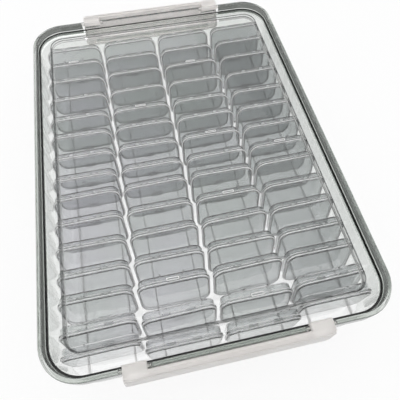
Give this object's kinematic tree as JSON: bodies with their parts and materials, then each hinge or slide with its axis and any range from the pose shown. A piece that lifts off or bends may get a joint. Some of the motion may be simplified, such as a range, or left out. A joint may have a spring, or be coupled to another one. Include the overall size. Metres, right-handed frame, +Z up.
{
  "type": "individual lid bead organizer",
  "caption": "Clear flat storage case with a lift-off lid, side latches and rows of small flip-lid boxes for beads and craft parts.",
  "frame": {"origin": "centre of the footprint, on the table", "axes": "+X across the case to the right, +Y along the case to the rear, +Z up"},
  "size_m": [0.2354, 0.3406, 0.0564],
  "materials": {
    "clear_case": "clear, glossy",
    "clear_box": "clear, glossy",
    "frosted_latch": "frosted, milky"
  },
  "bodies": {
    "tray": {"base_tray": "clear_case", "floor_rails": "clear_case", "row_01_box_bodies": "clear_box", "row_01_box_lids": "clear_box", "row_02_box_bodies": "clear_box", "row_02_box_lids": "clear_box", "row_03_box_bodies": "clear_box", "row_03_box_lids": "clear_box", "row_04_box_bodies": "clear_box", "row_04_box_lids": "clear_box", "row_05_box_bodies": "clear_box", "row_05_box_lids": "clear_box", "row_06_box_bodies": "clear_box", "row_06_box_lids": "clear_box", "row_07_box_bodies": "clear_box", "row_07_box_lids": "clear_box", "row_08_box_bodies": "clear_box", "row_08_box_lids": "clear_box", "row_09_box_bodies": "clear_box", "row_09_box_lids": "clear_box", "row_10_box_bodies": "clear_box", "row_10_box_lids": "clear_box", "row_11_box_bodies": "clear_box", "row_11_box_lids": "clear_box", "row_12_box_bodies": "clear_box", "row_12_box_lids": "clear_box", "row_13_box_bodies": "clear_box", "row_13_box_lids": "clear_box", "row_14_box_bodies": "clear_box", "row_14_box_lids": "clear_box", "row_15_box_bodies": "clear_box", "row_15_box_lids": "clear_box"},
    "lid": {"case_lid": "clear_case"},
    "latch_rear": {"latch_rear": "frosted_latch"},
    "latch_front": {"latch_front": "frosted_latch"},
    "box_column_1_row_02": {"box_column_1_row_02_body": "clear_box"},
    "box_column_1_row_02_lid": {"box_column_1_row_02_lid": "clear_box"},
    "box_column_2_row_13": {"box_column_2_row_13_body": "clear_box"},
    "box_column_2_row_13_lid": {"box_column_2_row_13_lid": "clear_box"},
    "box_column_3_row_10": {"box_column_3_row_10_body": "clear_box"},
    "box_column_3_row_10_lid": {"box_column_3_row_10_lid": "clear_box"},
    "box_column_4_row_08": {"box_column_4_row_08_body": "clear_box"},
    "box_column_4_row_08_lid": {"box_column_4_row_08_lid": "clear_box"}
  },
  "joints": [
    {"name": "lid_lift", "type": "slide", "parent": "tray", "child": "lid", "axis": [0, 0, 1], "range_m": [0, 0.2]},
    {"name": "latch_rear_swing", "type": "hinge", "parent": "lid", "child": "latch_rear", "pos_m": [0, 0.1634, 0.0522], "axis": [1, 0, 0], "range_deg": [0, 90]},
    {"name": "latch_front_swing", "type": "hinge", "parent": "lid", "child": "latch_front", "pos_m": [0, -0.1634, 0.0522], "axis": [-1, 0, 0], "range_deg": [0, 90]},
    {"name": "box_column_1_row_02_lift", "type": "slide", "parent": "tray", "child": "box_column_1_row_02", "axis": [0, 0.2079, 0.9781], "range_m": [0, 0.1]},
    {"name": "box_column_1_row_02_open", "type": "hinge", "parent": "box_column_1_row_02", "child": "box_column_1_row_02_lid", "pos_m": [-0.0831, 0.1131, 0.00588], "axis": [1, 0, 0], "range_deg": [0, 110]},
    {"name": "box_column_2_row_13_lift", "type": "slide", "parent": "tray", "child": "box_column_2_row_13", "axis": [0, 0.2079, 0.9781], "range_m": [0, 0.1]},
    {"name": "box_column_2_row_13_open", "type": "hinge", "parent": "box_column_2_row_13", "child": "box_column_2_row_13_lid", "pos_m": [-0.0277, -0.11829, 0.00588], "axis": [1, 0, 0], "range_deg": [0, 110]},
    {"name": "box_column_3_row_10_lift", "type": "slide", "parent": "tray", "child": "box_column_3_row_10", "axis": [0, 0.2079, 0.9781], "range_m": [0, 0.1]},
    {"name": "box_column_3_row_10_open", "type": "hinge", "parent": "box_column_3_row_10", "child": "box_column_3_row_10_lid", "pos_m": [0.0277, -0.05831, 0.00588], "axis": [1, 0, 0], "range_deg": [0, 110]},
    {"name": "box_column_4_row_08_lift", "type": "slide", "parent": "tray", "child": "box_column_4_row_08", "axis": [0, 0.2079, 0.9781], "range_m": [0, 0.1]},
    {"name": "box_column_4_row_08_open", "type": "hinge", "parent": "box_column_4_row_08", "child": "box_column_4_row_08_lid", "pos_m": [0.0831, -0.01834, 0.00588], "axis": [1, 0, 0], "range_deg": [0, 110]}
  ],
  "couplings": [
    {"joint": "latch_rear_swing", "follows": "lid_lift", "rad_per_m": 7.8},
    {"joint": "latch_front_swing", "follows": "lid_lift", "rad_per_m": 7.8},
    {"joint": "box_column_1_row_02_lift", "follows": "lid_lift", "ratio": 0.5},
    {"joint": "box_column_1_row_02_open", "follows": "lid_lift", "rad_per_m": 9.5},
    {"joint": "box_column_2_row_13_lift", "follows": "lid_lift", "ratio": 0.5},
    {"joint": "box_column_2_row_13_open", "follows": "lid_lift", "rad_per_m": 9.5},
    {"joint": "box_column_3_row_10_lift", "follows": "lid_lift", "ratio": 0.5},
    {"joint": "box_column_3_row_10_open", "follows": "lid_lift", "rad_per_m": 9.5},
    {"joint": "box_column_4_row_08_lift", "follows": "lid_lift", "ratio": 0.5},
    {"joint": "box_column_4_row_08_open", "follows": "lid_lift", "rad_per_m": 9.5}
  ]
}
